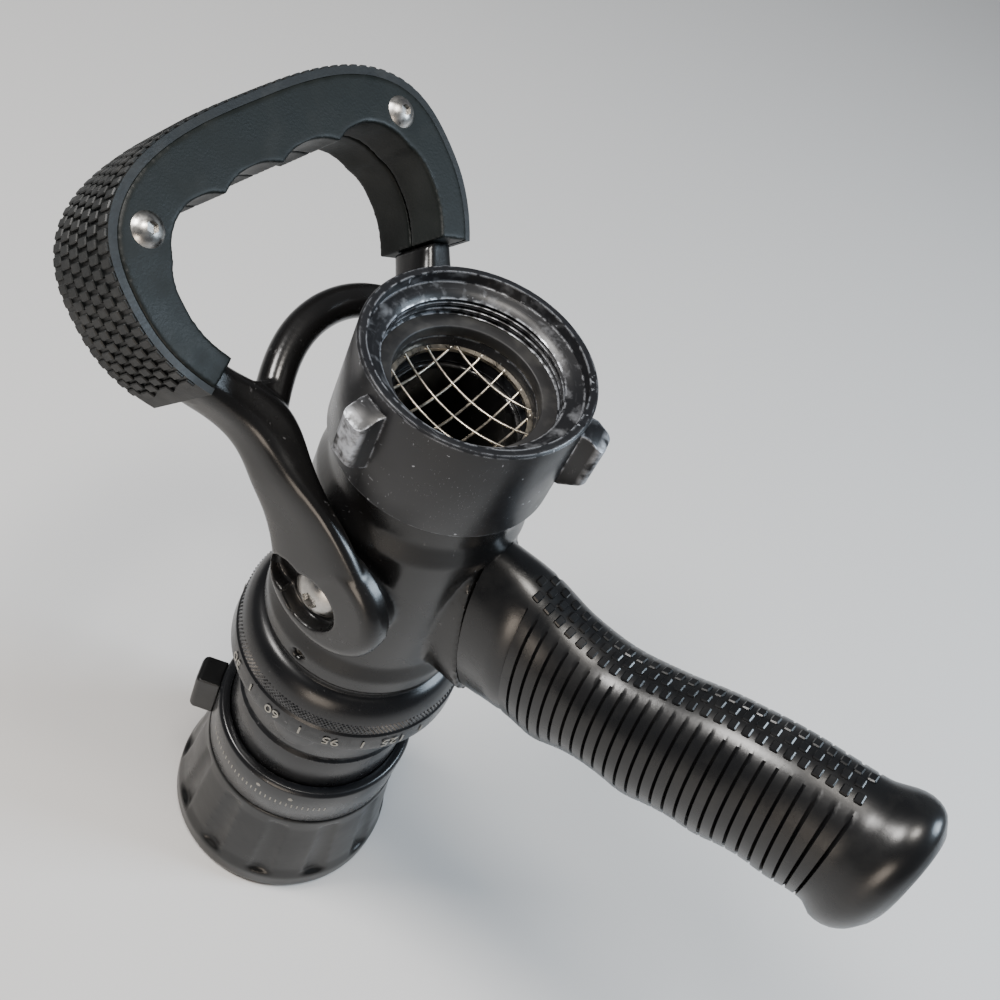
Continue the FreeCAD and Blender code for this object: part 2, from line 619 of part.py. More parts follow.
def beyond_leg_end(side, towards_handle):
    """The space on one side of the slanted plane where an arm meets its leg."""
    low_v = -0.05 if towards_handle else -30
    block = Part.makeBox(60, 30, 60, Vector(-30, low_v, -20))
    block.rotate(Vector(0, 0, 0), Z_AXIS, -side * LEG_END_SLANT)
    block.translate(Vector(side * 48.3, LEG_END_V, 0))
    return block


def leg_trim():
    return beyond_leg_end(-1, False).fuse(beyond_leg_end(1, False))


def handle_cover(low_w, high_w):
    face = handle_face(TREAD_T, LEG_END_V - 6)
    face.translate(Vector(0, 0, low_w))
    cover = face.extrude(Vector(0, 0, high_w - low_w)).cut(hand_hole()).cut(leg_trim())
    for side in (-1, 1):
        cover = cover.cut(tongue(side, 4.05))
        cover = cover.cut(Part.makeCylinder(2.2, 50, Vector(side * HANDLE_SCREW_U, HANDLE_SCREW_V, -15)))
        nut_pocket = hex_prism(7.2, 3.6, Vector(side * HANDLE_SCREW_U, HANDLE_SCREW_V, HANDLE_BACK_W - 0.1), Z_AXIS)
        cover = cover.cut(nut_pocket)
    return in_bail(cover)


def handle_tread():
    """The non-slip rubber band round the outside of the handle."""
    outer = handle_face(0.0, LEG_END_V - 6)
    inner = handle_face(TREAD_T - 0.02, LEG_END_V - 10)
    low, high = HANDLE_BACK_W + 0.6, HANDLE_FRONT_W - 0.6
    outer.translate(Vector(0, 0, low))
    inner.translate(Vector(0, 0, low - 1))
    band = outer.extrude(Vector(0, 0, high - low)).cut(inner.extrude(Vector(0, 0, high - low + 2)))
    return in_bail(band.cut(leg_trim()))


def handle_screws():
    screws = []
    for side in (-1, 1):
        base = Vector(side * HANDLE_SCREW_U, HANDLE_SCREW_V, HANDLE_FRONT_W + 0.02)
        screws.append(button_screw(4.7, 2.5, 2.0, 28.5, 3.0, base, Z_AXIS))
    return in_bail(Part.makeCompound(screws))


def handle_nuts():
    nuts = []
    for side in (-1, 1):
        base = Vector(side * HANDLE_SCREW_U, HANDLE_SCREW_V, HANDLE_BACK_W)
        nuts.append(hex_prism(7.0, 3.2, base, Z_AXIS).cut(Part.makeCylinder(2.05, 8, base - Vector(0, 0, 2))))
    return in_bail(Part.makeCompound(nuts))


def valve_ball():
    """The shut-off ball, bored through and socketed for the two stems."""
    ball = Part.makeSphere(BALL_R, Vector(0, 0, VALVE_Z))
    ball = ball.cut(ring(0, WATERWAY_R, VALVE_Z - 30, VALVE_Z + 30))
    return ball.cut(y_rod(STEM_R + 0.02, 19.5, 30)).cut(y_rod(STEM_R + 0.02, -30, -19.5))


def valve_stem(side):
    """A stem from the ball through its bush to the square in the arm."""
    def across(radius, near, far):
        return y_rod(radius, side * near, side * far)
    stem = across(STEM_R, 19.6, ARM_IN_Y - 0.2)
    low = ARM_IN_Y - 0.3 if side > 0 else -PIVOT_FLOOR_Y + 0.1
    square = Part.makeBox(SQUARE - 0.04, SQUARE - 0.04, PIVOT_FLOOR_Y - ARM_IN_Y + 0.2)
    square.translate(Vector(-SQUARE / 2 + 0.02, -SQUARE / 2 + 0.02, 0))
    square.Placement = FreeCAD.Placement(
        Vector(0, 0, 0), FreeCAD.Rotation(X_AXIS, -90)).multiply(square.Placement)
    square.rotate(Vector(0, 0, 0), Y_AXIS, 90 - BAIL_LEAN)
    square.translate(Vector(0, low, VALVE_Z))
    stem = stem.fuse(square)
    stem = stem.cut(across(STEM_R + 1, 29.2, 31.0).cut(across(STEM_R - 1.6, 29.0, 31.2)))
    return stem.cut(across(3.0, 25.0, 40.0))


def stem_o_rings():
    rings = []
    for side in (-1, 1):
        rings.append(Part.makeTorus(STEM_R - 0.82, 0.77, Vector(0, side * 30.1, VALVE_Z), Y_AXIS))
    return Part.makeCompound(rings)


def pivot_screws():
    screws = []
    for side in (-1, 1):
        base = Vector(0, side * (PIVOT_FLOOR_Y + 0.02), VALVE_Z)
        screws.append(button_screw(PIVOT_HEAD_R, 3.9, 2.95, 11.0, 5.0, base, Vector(0, side, 0)))
    return Part.makeCompound(screws)


# ---- pistol grip --------------------------------------------------------------------
def grip_core():
    """The bar inside the grip, bolted to the neck through its foot."""
    foot = Part.makeBox(6, 2 * CORE_HALF_Y + 4, 46, Vector(0.05, -CORE_HALF_Y - 2, -20))
    bar = Part.makeBox(112, 2 * CORE_HALF_Y, 2 * CORE_HALF_D, Vector(3, -CORE_HALF_Y, -CORE_HALF_D))
    core = foot.fuse(bar)
    core = core.cut(Part.makeCylinder(3.0, 40, Vector(90, 0, 0), X_AXIS))
    for depth in CORE_SCREW_DEPTHS:
        core = core.cut(Part.makeCylinder(2.6, 20, Vector(-5, 0, depth), X_AXIS))
        core = core.cut(Part.makeCylinder(5.0, 20, Vector(6.05, 0, depth), X_AXIS))
    return in_grip(core)


def grip_core_screws():
    screws = []
    for depth in CORE_SCREW_DEPTHS:
        screws.append(button_screw(4.6, 2.6, 2.45, 12.0, 3.0, Vector(6.1, 0, depth), X_AXIS))
    return in_grip(Part.makeCompound(screws))


def pistol_grip():
    sections = []
    for distance, middle, half_d, half_y in GRIP_SECTIONS:
        sections.append(squared_oval(
            lambda a, b, t=distance, m=middle: Vector(t + 0.1, b, m + a), half_d, half_y, 2.5))
    grip = Part.makeLoft(sections, True, False)
    hollow = Part.makeBox(117, 2 * CORE_HALF_Y + 0.1, 2 * CORE_HALF_D + 0.1,
                          Vector(-2, -CORE_HALF_Y - 0.05, -CORE_HALF_D - 0.05))
    heel = Part.makeBox(11.5, 2 * CORE_HALF_Y + 4.2, 46.2, Vector(-2, -CORE_HALF_Y - 2.1, -20.1))
    grip = grip.cut(hollow).cut(heel)
    round_body = Part.makeCylinder(BODY_R - 0.7, 120, Vector(0, 0, VALVE_Z - 60))
    round_body.Placement = GRIP_PLACE.inverse().multiply(round_body.Placement)
    grip = grip.cut(round_body)
    grip = grip.cut(Part.makeCylinder(3.1, 40, Vector(110, 0, 0), X_AXIS))
    return in_grip(grip.cut(Part.makeCylinder(8.1, 20, Vector(GRIP_LENGTH - 7, 0, 0), X_AXIS)))


def grip_washer():
    washer = Part.makeCylinder(8.0, 1.6, Vector(GRIP_LENGTH - 6.95, 0, 0), X_AXIS)
    return in_grip(washer.cut(Part.makeCylinder(3.05, 10, Vector(GRIP_LENGTH - 10, 0, 0), X_AXIS)))


def grip_bolt():
    base = Vector(GRIP_LENGTH - 5.3, 0, 0)
    return in_grip(button_screw(6.0, 3.4, 2.95, 38.0, 4.0, base, X_AXIS))


# ---- export -------------------------------------------------------------------------
gasket_z = THREAD_END_Z - GASKET_H
nodes = {
    "swivel_coupling": swivel_coupling(),
    "inlet_gasket": ring(GASKET_IN_R, GASKET_R - 0.05, gasket_z + 0.02, THREAD_END_Z - 0.02),
    "debris_screen": debris_screen(),
    "race_plug_screw": race_plug_screw(),
    "bearing_balls": bearing_balls(),
    "swivel_seal": torus(24.95, 1.0, 248.2).common(ring(0, SPIGOT_R + 0.02, 246, 250)),
    "valve_body": valve_body(),
    "stem_bush_near": stem_bush(-1),
    "stem_bush_far": stem_bush(1),
    "rear_seat": valve_seat(206.5, 218.9),
    "front_seat": valve_seat(170.3, 183.9),
    "seat_carrier": seat_carrier(),
    "set_screws": set_screws(),
    "barrel": barrel(),
    "detent_ball": Part.makeSphere(DETENT_BALL_R, polar(JOURNAL_R - DETENT_BALL_R - 0.02, DETENT_ANGLE, DETENT_Z)),
    "detent_spring": detent_spring(),
    "flow_spider": flow_spider(),
    "baffle_stem": baffle_stem(),
    "baffle_head": baffle_head(),
    "baffle_screw": baffle_screw(),
    "selector_ring": selector_ring(),
    "pattern_sleeve": pattern_sleeve(),
    "sleeve_snap_ring": sleeve_snap_ring(),
    "fog_ring": fog_ring(),
    "bumper": bumper(),
    "pattern_lug": pattern_lug(),
    "guide_ring": guide_ring(),
    "guide_pins": guide_pins(),
    "guide_seal": torus(GUIDE_SEAT_R + 0.75, 0.65, GUIDE_Z + 7.0),
    "yoke": yoke(),
    "handle_cover_front": handle_cover(HANDLE_MID_W + 0.03, HANDLE_FRONT_W),
    "handle_cover_rear": handle_cover(HANDLE_BACK_W, HANDLE_MID_W - 0.03),
    "handle_tread": handle_tread(),
    "handle_screws": handle_screws(),
    "handle_nuts": handle_nuts(),
    "valve_ball": valve_ball(),
    "valve_stem_near": valve_stem(-1),
    "valve_stem_far": valve_stem(1),
    "stem_o_rings": stem_o_rings(),
    "pivot_screws": pivot_screws(),
    "grip_core": grip_core(),
    "grip_core_screws": grip_core_screws(),
    "pistol_grip": pistol_grip(),
    "grip_washer": grip_washer(),
    "grip_bolt": grip_bolt(),
}
for node, shape in nodes.items():
    export(shape, node)
    print("%-20s valid %s solids %d volume %.0f" % (node, shape.isValid(), len(shape.Solids), shape.Volume))
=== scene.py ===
import bmesh
import bpy
import json
import math
from mathutils import Matrix, Vector


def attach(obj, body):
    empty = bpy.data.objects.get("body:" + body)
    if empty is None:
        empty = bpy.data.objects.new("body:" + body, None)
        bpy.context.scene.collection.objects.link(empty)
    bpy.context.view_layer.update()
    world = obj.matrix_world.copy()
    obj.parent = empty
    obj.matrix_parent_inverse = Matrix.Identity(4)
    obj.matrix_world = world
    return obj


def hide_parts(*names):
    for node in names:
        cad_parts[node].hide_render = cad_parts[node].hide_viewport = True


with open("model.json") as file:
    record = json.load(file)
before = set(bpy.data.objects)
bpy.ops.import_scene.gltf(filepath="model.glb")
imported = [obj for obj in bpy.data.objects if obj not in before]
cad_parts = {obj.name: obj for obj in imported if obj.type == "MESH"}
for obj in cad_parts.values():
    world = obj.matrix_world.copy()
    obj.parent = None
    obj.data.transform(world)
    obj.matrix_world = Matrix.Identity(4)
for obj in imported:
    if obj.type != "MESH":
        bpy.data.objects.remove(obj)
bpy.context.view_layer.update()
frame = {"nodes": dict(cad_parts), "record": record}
nodes = frame["nodes"]
MM = 0.001


# ---- material helpers ---------------------------------------------------------------
def new_material(name, base, metallic, roughness):
    material = bpy.data.materials.new(name)
    material.use_nodes = True
    tree = material.node_tree
    shader = tree.nodes["Principled BSDF"]
    shader.inputs["Base Color"].default_value = (*base, 1)
    shader.inputs["Metallic"].default_value = metallic
    shader.inputs["Roughness"].default_value = roughness
    return material, tree, shader


def place_node(tree, scale=(1, 1, 1), turn=0.0):
    where = tree.nodes.new("ShaderNodeTexCoord")
    mapping = tree.nodes.new("ShaderNodeMapping")
    mapping.inputs["Scale"].default_value = scale
    mapping.inputs["Rotation"].default_value = (turn, turn * 0.7, turn * 0.4)
    tree.links.new(where.outputs["Object"], mapping.inputs["Vector"])
    return mapping.outputs["Vector"]


def noise(tree, scale, detail=4.0, stretch=(1, 1, 1), rough=0.55, turn=0.0):
    node = tree.nodes.new("ShaderNodeTexNoise")
    node.inputs["Scale"].default_value = scale
    node.inputs["Detail"].default_value = detail
    node.inputs["Roughness"].default_value = rough
    tree.links.new(place_node(tree, stretch, turn), node.inputs["Vector"])
    return node.outputs["Fac"]


def spread(tree, value, low, high, out_low=0.0, out_high=1.0):
    node = tree.nodes.new("ShaderNodeMapRange")
    node.inputs["From Min"].default_value = low
    node.inputs["From Max"].default_value = high
    node.inputs["To Min"].default_value = out_low
    node.inputs["To Max"].default_value = out_high
    tree.links.new(value, node.inputs["Value"])
    return node.outputs["Result"]


def math_node(tree, kind, a, b):
    node = tree.nodes.new("ShaderNodeMath")
    node.operation = kind
    for socket, value in zip(node.inputs, (a, b)):
        if isinstance(value, (int, float)):
            socket.default_value = value
        else:
            tree.links.new(value, socket)
    return node.outputs["Value"]


def colour_mix(tree, factor, first, second):
    node = tree.nodes.new("ShaderNodeMix")
    node.data_type = "RGBA"
    if isinstance(factor, (int, float)):
        node.inputs["Factor"].default_value = factor
    else:
        tree.links.new(factor, node.inputs["Factor"])
    for socket, value in ((node.inputs["A"], first), (node.inputs["B"], second)):
        if isinstance(value, tuple):
            socket.default_value = (*value, 1)
        else:
            tree.links.new(value, socket)
    return node.outputs["Result"]


def bump(tree, shader, height, strength, distance):
    node = tree.nodes.new("ShaderNodeBump")
    node.inputs["Strength"].default_value = strength
    node.inputs["Distance"].default_value = distance
    tree.links.new(height, node.inputs["Height"])
    tree.links.new(node.outputs["Normal"], shader.inputs["Normal"])


def scratches(tree, scale, amount):
    """Thin straight lines: the high crests of noises drawn out along two directions."""
    lines = None
    for turn in (0.5, -0.9):
        fine = noise(tree, scale, 1.0, (1, 60, 4), 0.5, turn)
        line = spread(tree, fine, 0.74, 0.78)
        lines = line if lines is None else math_node(tree, "MAXIMUM", lines, line)
    patches = spread(tree, noise(tree, scale * 0.12, 3.0), 0.48, 0.66)
    return math_node(tree, "MULTIPLY", math_node(tree, "MULTIPLY", lines, patches), amount)


def edge_mask(tree, radius, low=0.80, high=0.97):
    """1 on sharp outer edges, found by rounding the normal over a small radius."""
    bevel = tree.nodes.new("ShaderNodeBevel")
    bevel.samples = 6
    bevel.inputs["Radius"].default_value = radius
    geometry = tree.nodes.new("ShaderNodeNewGeometry")
    dot = tree.nodes.new("ShaderNodeVectorMath")
    dot.operation = "DOT_PRODUCT"
    tree.links.new(bevel.outputs["Normal"], dot.inputs[0])
    tree.links.new(geometry.outputs["True Normal"], dot.inputs[1])
    return spread(tree, dot.outputs["Value"], low, high, 1, 0)


LUG_WEAR_R = (37.5 * MM, 39.8 * MM)
LEDGE_EDGE_R = (30.2 * MM, 30.6 * MM)
LEDGE_Z = (268.8 * MM, 269.6 * MM)


def coupling_wear_and_highlight(tree):
    """Handling marks on the coupling: metal showing at the lug tips, and a pale patchy ring on the ledge in
    its mouth that is partly scuffed metal and partly a painted highlight.
    """
    flat = tree.nodes.new("ShaderNodeVectorMath")
    flat.operation = "LENGTH"
    tree.links.new(place_node(tree, (1, 1, 0)), flat.inputs[0])
    high = tree.nodes.new("ShaderNodeSeparateXYZ")
    tree.links.new(place_node(tree), high.inputs[0])
    patchy = noise(tree, 240, 5.0)
    far_out = spread(tree, flat.outputs["Value"], *LUG_WEAR_R)
    tips = math_node(tree, "MULTIPLY", far_out, spread(tree, patchy, 0.42, 0.6))
    inside = spread(tree, flat.outputs["Value"], *LEDGE_EDGE_R, 1, 0)
    ledge = math_node(tree, "MULTIPLY", spread(tree, high.outputs["Z"], *LEDGE_Z), inside)
    # painted highlight: the ring on the mouth's ledge is made pale in patches, partly scuffed metal and
    # partly a highlight painted into the colour
    ledge_scuff_and_highlight = math_node(tree, "MULTIPLY", ledge, spread(tree, patchy, 0.52, 0.8, 0, 0.32))
    return math_node(tree, "MAXIMUM", tips, ledge_scuff_and_highlight)


def coated_metal(name, base, roughness, bare_and_highlight_colour, wear_and_highlight_amount, grain, edge_radius=0.0007, extra_wear_and_highlight=None):
    """Black anodised or painted metal, scuffed to the metal on its edges and lightly scratched; the extra
    marks can add a painted highlight.
    """
    material, tree, shader = new_material(name, base, 0.0, roughness)
    shader.inputs["Specular IOR Level"].default_value = 0.42
    sharp = edge_mask(tree, edge_radius)
    edges = math_node(tree, "MULTIPLY", sharp, spread(tree, noise(tree, 330, 6.0), 0.44, 0.58))
    nicks = math_node(tree, "MULTIPLY", spread(tree, noise(tree, 420, 3.0), 0.70, 0.74), 0.7)
    marks = math_node(tree, "MAXIMUM", scratches(tree, 190, 0.7), nicks)
    if extra_wear_and_highlight:
        marks = math_node(tree, "MAXIMUM", marks, extra_wear_and_highlight(tree))
    # the mix towards metal colour, which for the coupling also holds a painted highlight ring in its mouth
    wear_and_highlight = math_node(tree, "MULTIPLY", math_node(tree, "MAXIMUM", edges, marks), wear_and_highlight_amount)
    tint = colour_mix(tree, spread(tree, noise(tree, 35, 3.0), 0.3, 0.7), base, tuple(1.5 * c for c in base))
    tree.links.new(colour_mix(tree, wear_and_highlight, tint, bare_and_highlight_colour), shader.inputs["Base Color"])
    tree.links.new(spread(tree, wear_and_highlight, 0.25, 0.9), shader.inputs["Metallic"])
    rough = spread(tree, noise(tree, 60, 5.0), 0.3, 0.7, roughness * 0.8, roughness * 1.3)
    tree.links.new(rough, shader.inputs["Roughness"])
    bump(tree, shader, noise(tree, 900, 3.0), grain, 0.00012)
    return material


def rubber(name, base, roughness, dust, grain_scale, grain, gloss=0.4):
    """Moulded rubber with a fine skin and patches of dust."""
    material, tree, shader = new_material(name, base, 0.0, roughness)
    shader.inputs["Specular IOR Level"].default_value = gloss
    grainy = noise(tree, grain_scale, 5.0)
    dusty = math_node(tree, "MULTIPLY", spread(tree, noise(tree, 95, 6.0), 0.5, 0.8), dust)
    tree.links.new(colour_mix(tree, dusty, base, (0.10, 0.098, 0.092)), shader.inputs["Base Color"])
    rough = spread(tree, noise(tree, 80, 4.0), 0.3, 0.7, roughness * 0.85, roughness * 1.25)
    tree.links.new(rough, shader.inputs["Roughness"])
    bump(tree, shader, grainy, grain, 0.0002)
    return material


def bright_metal(name, base, roughness, stretch=(1, 1, 1)):
    """Stainless steel or brass with fine drawn or turned lines."""
    material, tree, shader = new_material(name, base, 1.0, roughness)
    lines = noise(tree, 500, 3.0, stretch)
    stain = spread(tree, noise(tree, 140, 4.0), 0.4, 0.75)
    tree.links.new(colour_mix(tree, stain, base, tuple(0.55 * c for c in base)), shader.inputs["Base Color"])
    rough = spread(tree, lines, 0.3, 0.7, roughness * 0.7, roughness * 1.5)
    tree.links.new(rough, shader.inputs["Roughness"])
    bump(tree, shader, lines, 0.15, 0.00005)
    return material


BARE_METAL = (0.42, 0.42, 0.43)
# metal colour of the coupling's scuffs, also the colour of the painted highlight ring in its mouth
COUPLING_BARE_AND_HIGHLIGHT = (0.48, 0.5, 0.54)
finishes = {
    "black_casting": coated_metal("black_casting", (0.0045, 0.0044, 0.0045), 0.24, BARE_METAL, 0.16, 0.10),
    "black_anodised": coated_metal("black_anodised", (0.005, 0.0052, 0.006), 0.27, BARE_METAL, 0.28, 0.05),
    # the coupling's finish carries metal at its lug tips and a painted highlight ring in its mouth
    "worn_anodised": coated_metal("worn_anodised", (0.0065, 0.0068, 0.008), 0.33, COUPLING_BARE_AND_HIGHLIGHT, 0.9, 0.07,
                                  0.001, coupling_wear_and_highlight),
    "cast_core": bright_metal("cast_core", (0.4, 0.4, 0.41), 0.5),
    "brass_parts": bright_metal("brass_parts", (0.55, 0.42, 0.2), 0.3),
    "white_polymer": rubber("white_polymer", (0.75, 0.74, 0.7), 0.4, 0.1, 700, 0.1),
    "stainless": bright_metal("stainless", (0.5, 0.485, 0.46), 0.3),
    "stainless_wire": bright_metal("stainless_wire", (0.55, 0.5, 0.42), 0.3),
    "polished_ball": bright_metal("polished_ball", (0.45, 0.39, 0.31), 0.5),
    "seal_rubber": rubber("seal_rubber", (0.015, 0.015, 0.015), 0.5, 0.1, 600, 0.1),
    "gasket_rubber": rubber("gasket_rubber", (0.016, 0.016, 0.017), 0.5, 0.5, 500, 0.2),
    "grip_rubber": rubber("grip_rubber", (0.0042, 0.0044, 0.005), 0.27, 0.10, 900, 0.10, 0.5),
    "bumper_rubber": rubber("bumper_rubber", (0.003, 0.003, 0.003), 0.31, 0.07, 700, 0.1, 0.35),
    "fog_rubber": rubber("fog_rubber", (0.02, 0.02, 0.02), 0.5, 0.2, 700, 0.2),
    "handle_plastic": rubber("handle_plastic", (0.005, 0.0068, 0.0064), 0.48, 0.05, 1400, 0.3, 0.22),
    "print_marks": rubber("print_marks", (0.30, 0.29, 0.26), 0.6, 0.3, 900, 0.1),
    "tread_rubber": rubber("tread_rubber", (0.0055, 0.0066, 0.007), 0.48, 0.16, 1100, 0.3, 0.35),
}

for part in frame["record"]["subparts"]:
    node = nodes[part["node"]]
    node.data.materials.clear()
    node.data.materials.append(finishes[part["material_slot"]])


# ---- modelling helpers --------------------------------------------------------------
body_of = {node: body for body, names in frame["record"]["behaviour"]["bodies"].items() for node in names}


def activate(piece):
    bpy.ops.object.select_all(action="DESELECT")
    piece.select_set(True)
    bpy.context.view_layer.objects.active = piece


def edit(piece, pick="SELECT"):
    activate(piece)
    bpy.ops.object.mode_set(mode="EDIT")
    bpy.ops.mesh.select_mode(type="VERT")
    bpy.ops.mesh.select_all(action=pick)


def leave_edit():
    bpy.ops.object.mode_set(mode="OBJECT")


def apply_modifier(piece, kind, **settings):
    activate(piece)
    modifier = piece.modifiers.new(kind.lower(), kind)
    for name, value in settings.items():
        setattr(modifier, name, value)
    bpy.ops.object.modifier_apply(modifier=modifier.name)


def smooth_faces(piece, degrees=35):
    activate(piece)
    bpy.ops.object.shade_smooth_by_angle(angle=math.radians(degrees))


def finish_piece(piece, slot, body, *replaced):
    """Gives a piece its finish, the body it rides on and the nodes it stands for."""
    piece.data.materials.clear()
    piece.data.materials.append(finishes[slot])
    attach(piece, body)
    if replaced:
        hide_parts(*replaced)


def copy_node(node_name, piece_name):
    """A copy of a node's mesh with its triangles merged into one skin."""
    piece = bpy.data.objects.new(piece_name, nodes[node_name].data.copy())
    bpy.context.scene.collection.objects.link(piece)
    edit(piece)
    bpy.ops.mesh.customdata_custom_splitnormals_clear()
    bpy.ops.mesh.remove_doubles(threshold=0.01 * MM)
    leave_edit()
    return piece


def cast_copy(node_name, piece_name, slot, voxel, rounds):
    """The node as a casting or moulding: one skin with small fillets at every corner."""
    piece = copy_node(node_name, piece_name)
    apply_modifier(piece, "REMESH", mode="VOXEL", voxel_size=voxel)
    apply_modifier(piece, "SMOOTH", factor=0.5, iterations=rounds)
    smooth_faces(piece, 60)
    finish_piece(piece, slot, body_of[node_name], node_name)
    return piece


def edged_copy(node_name, piece_name, slot, width, segments=3, corner=30):
    """The node as a machined part: every corner gets a small rounded edge."""
    piece = copy_node(node_name, piece_name)
    edit(piece)
    bpy.ops.mesh.dissolve_limited(angle_limit=math.radians(0.4))
    leave_edit()
    apply_modifier(piece, "BEVEL", width=width, segments=segments, limit_method="ANGLE",
                   angle_limit=math.radians(corner), use_clamp_overlap=True, harden_normals=False)
    smooth_faces(piece, 40)
    finish_piece(piece, slot, body_of[node_name], node_name)
    return piece


def join_copies(model, places, name):
    """Copies a small model to every place and joins the copies into one piece."""
    copies = []
    for place in places:
        twin = bpy.data.objects.new(name, model.data.copy())
        bpy.context.scene.collection.objects.link(twin)
        twin.data.transform(place)
        copies.append(twin)
    bpy.data.objects.remove(model)
    bpy.ops.object.select_all(action="DESELECT")
    for twin in copies:
        twin.select_set(True)
    bpy.context.view_layer.objects.active = copies[0]
    bpy.ops.object.join()
    return copies[0]


def small_block(length, width, height, edge):
    """A block with softened edges, standing on z = 0 at the origin."""
    bpy.ops.object.select_all(action="DESELECT")
    bpy.ops.mesh.primitive_cube_add(size=1, location=(0, 0, height / 2), scale=(length, width, height))
    block = bpy.context.object
    bpy.ops.object.transform_apply(location=True, rotation=False, scale=True)
    apply_modifier(block, "BEVEL", width=edge, segments=1, limit_method="NONE")
    return block


def around(degrees, radius, z):
    """A place on a round wall: local x runs round it, local y up it and local z out of it."""
    angle = math.radians(degrees)
    outward = Vector((math.cos(angle), math.sin(angle), 0))
    tangent = Vector((-math.sin(angle), math.cos(angle), 0))
    upward = outward.cross(tangent)
    place = outward * radius + Vector((0, 0, z))
    return Matrix((
        (tangent.x, upward.x, outward.x, place.x), (tangent.y, upward.y, outward.y, place.y),
        (tangent.z, upward.z, outward.z, place.z), (0, 0, 0, 1)))


def blend_rows(rows, distance):
    """Values at a distance along rows that each start with their own distance."""
    last = len(rows) - 1
    index = 0
    while index < last - 1 and rows[index + 1][0] <= distance:
        index += 1
    low, high = rows[index], rows[index + 1]
    before, after = rows[max(index - 1, 0)], rows[min(index + 2, last)]
    span = high[0] - low[0]
    share = min(max((distance - low[0]) / span, 0), 1)
    values = []
    for column in range(1, len(low)):
        slope_low = (high[column] - before[column]) / (high[0] - before[0]) * span
        slope_high = (after[column] - low[column]) / (after[0] - low[0]) * span
        square, cube = share ** 2, share ** 3
        values.append((2 * cube - 3 * square + 1) * low[column] + (cube - 2 * square + share) * slope_low
                      + (3 * square - 2 * cube) * high[column] + (cube - square) * slope_high)
    return values


# ---- pistol grip --------------------------------------------------------------------
GRIP_PLACE = Matrix.Translation((39 * MM, 0, 189 * MM)) @ Matrix.Rotation(math.radians(-15.5), 4, "Y")
# distance along the grip, middle, half depth and half width, in millimetres
GRIP_ROWS = (
    (0.3, 3.5, 30.3, 15.6), (14, 2.5, 28, 16.6), (29, -1.0, 24.2, 17), (44, -1.0, 20.4, 17.2),
    (60, 0.0, 21.8, 17.6),
    (80, 3.6, 22.9, 17.6), (100, 5.8, 22.9, 17.4), (116, 5.6, 22.9, 17.4), (120, 5.4, 23.5, 17.6),
    (124.5, 5.0, 26.0, 19), (129, 5.1, 26.2, 19), (133, 5.2, 24.2, 17), (136, 5.0, 19.5, 13.5))
# the last rings close the end and sink the recess of the bolt
END_RINGS = ((136.8, 3.2, 14, 11.5), (137.2, 0, 9, 9), (136.6, 0, 8.1, 8.1), (127.2, 0, 8.1, 8.1))
LIP_STATIONS = (122.0, 124.0, 126.0, 128.0, 130.0, 131.6, 133.0, 134.2, 135.2, 136.0)
END_TILT = 0.2
TILT_START = 108
TILT_LENGTH = 16
GROOVES = 27
GROOVE_START = 16.5
GROOVE_PITCH = 3.85
GROOVE_STEPS = (0.0, 0.48, 1.2, 1.92, 2.65, 3.37)
GROOVE_SQUEEZE = 0.915
# finger ridges: distance along the grip and height
RIDGES = ((28, 1.6), (61, 1.5), (84, 1.5), (106, 1.2))
RIDGE_SPREAD = 6.0


def grip_values(distance):
    """Middle, half depth and half width of the grip, with its finger ridges."""
    middle, half_depth, half_width = blend_rows(GRIP_ROWS, distance)
    swell = sum(size * math.exp(-((distance - place) / RIDGE_SPREAD) ** 2) for place, size in RIDGES)
    return middle - swell / 2, half_depth + swell / 2, half_width


